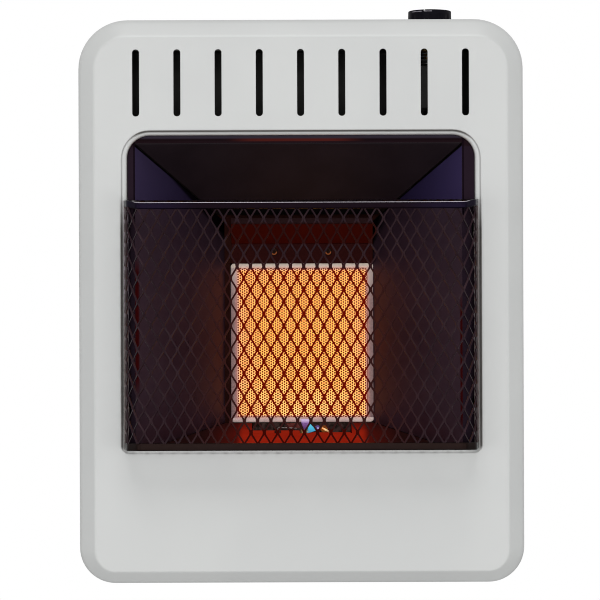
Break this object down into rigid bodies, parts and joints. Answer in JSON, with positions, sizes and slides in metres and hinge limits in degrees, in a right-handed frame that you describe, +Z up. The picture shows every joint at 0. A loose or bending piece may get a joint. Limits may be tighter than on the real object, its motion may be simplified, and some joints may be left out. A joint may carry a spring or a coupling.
{
  "type": "wall mounted gas heater",
  "caption": "Wall mounted infrared gas heater: slotted pressed front panel, mitred firebox with a glowing ceramic tile, lift-off mesh guard and push-and-turn knob.",
  "frame": {"origin": "middle of the back face, on the wall", "axes": "+Z up, +X to the right seen from the room, -Y into the room, +Y into the wall"},
  "size_m": [0.4336, 0.208, 0.5634],
  "materials": {
    "panel_paint": "smooth semi-gloss light grey powder coat",
    "cabinet_paint": "semi-gloss light grey powder coat",
    "galvanised": "galvanised sheet",
    "reflector": "bright sheet darkened and tinted by heat",
    "guard": "plated expanded mesh, heat tinted",
    "ceramic": "perforated ceramic, glowing orange",
    "fibre": "white-grey ceramic fibre",
    "burner_steel": "aluminised steel, dulled by heat",
    "brass": "turned brass",
    "aluminium": "die cast and drawn aluminium",
    "steel": "zinc plated steel",
    "black_plastic": "black moulded plastic",
    "white_ceramic": "glazed insulator",
    "copper": "copper capillary",
    "lead_cover": "silicone sleeve"
  },
  "bodies": {
    "heater": {"front_panel": "panel_paint", "cabinet_back": "cabinet_paint", "cabinet_left_side": "cabinet_paint", "cabinet_right_side": "cabinet_paint", "cabinet_top": "cabinet_paint", "cabinet_base": "cabinet_paint", "wall_bracket": "galvanised", "injector_bracket": "galvanised", "firebox_frame": "reflector", "hood_reflector": "reflector", "left_reflector": "reflector", "right_reflector": "reflector", "floor_reflector": "reflector", "burner_plate": "burner_steel", "burner_box": "burner_steel", "top_deflector": "burner_steel", "mixing_tube": "burner_steel", "pilot_bracket": "burner_steel", "burner_gasket": "fibre", "ceramic_tile": "ceramic", "gas_injector": "brass", "pilot_burner": "brass", "gas_inlet_fitting": "brass", "thermocouple": "copper", "thermocouple_lead": "copper", "igniter_electrode": "white_ceramic", "igniter_lead": "lead_cover", "gas_valve_body": "aluminium", "pressure_regulator": "aluminium", "gas_supply_pipe": "aluminium", "burner_gas_pipe": "aluminium", "pilot_gas_pipe": "aluminium", "valve_screw_left": "steel", "valve_screw_right": "steel", "burner_screw_left": "steel", "burner_screw_right": "steel", "panel_screw_left_lower": "steel", "panel_screw_left_upper": "steel", "panel_screw_right_lower": "steel", "panel_screw_right_upper": "steel"},
    "plunger": {"valve_plunger": "brass", "return_spring": "steel"},
    "knob": {"control_knob": "black_plastic", "valve_stem": "steel"},
    "guard": {"guard_front_mesh": "guard", "guard_left_mesh": "guard", "guard_right_mesh": "guard", "guard_top_mesh": "guard", "guard_bottom_mesh": "guard", "guard_top_rail": "guard", "guard_bottom_rail": "guard", "guard_left_rail": "guard", "guard_right_rail": "guard"}
  },
  "joints": [
    {"name": "control_push", "type": "slide", "parent": "heater", "child": "plunger", "axis": [0, 0, -1], "range_m": [0, 0.003], "stiffness_N_per_m": 1500, "springref_m": -0.004, "deforming": ["return_spring"]},
    {"name": "control_turn", "type": "hinge", "parent": "plunger", "child": "knob", "pos_m": [0.1291, -0.095, 0.27], "axis": [0, 0, 1], "range_deg": [-90, 90]},
    {"name": "guard_lift", "type": "slide", "parent": "heater", "child": "guard", "axis": [0, 0, 1], "range_m": [0, 0.008]}
  ]
}
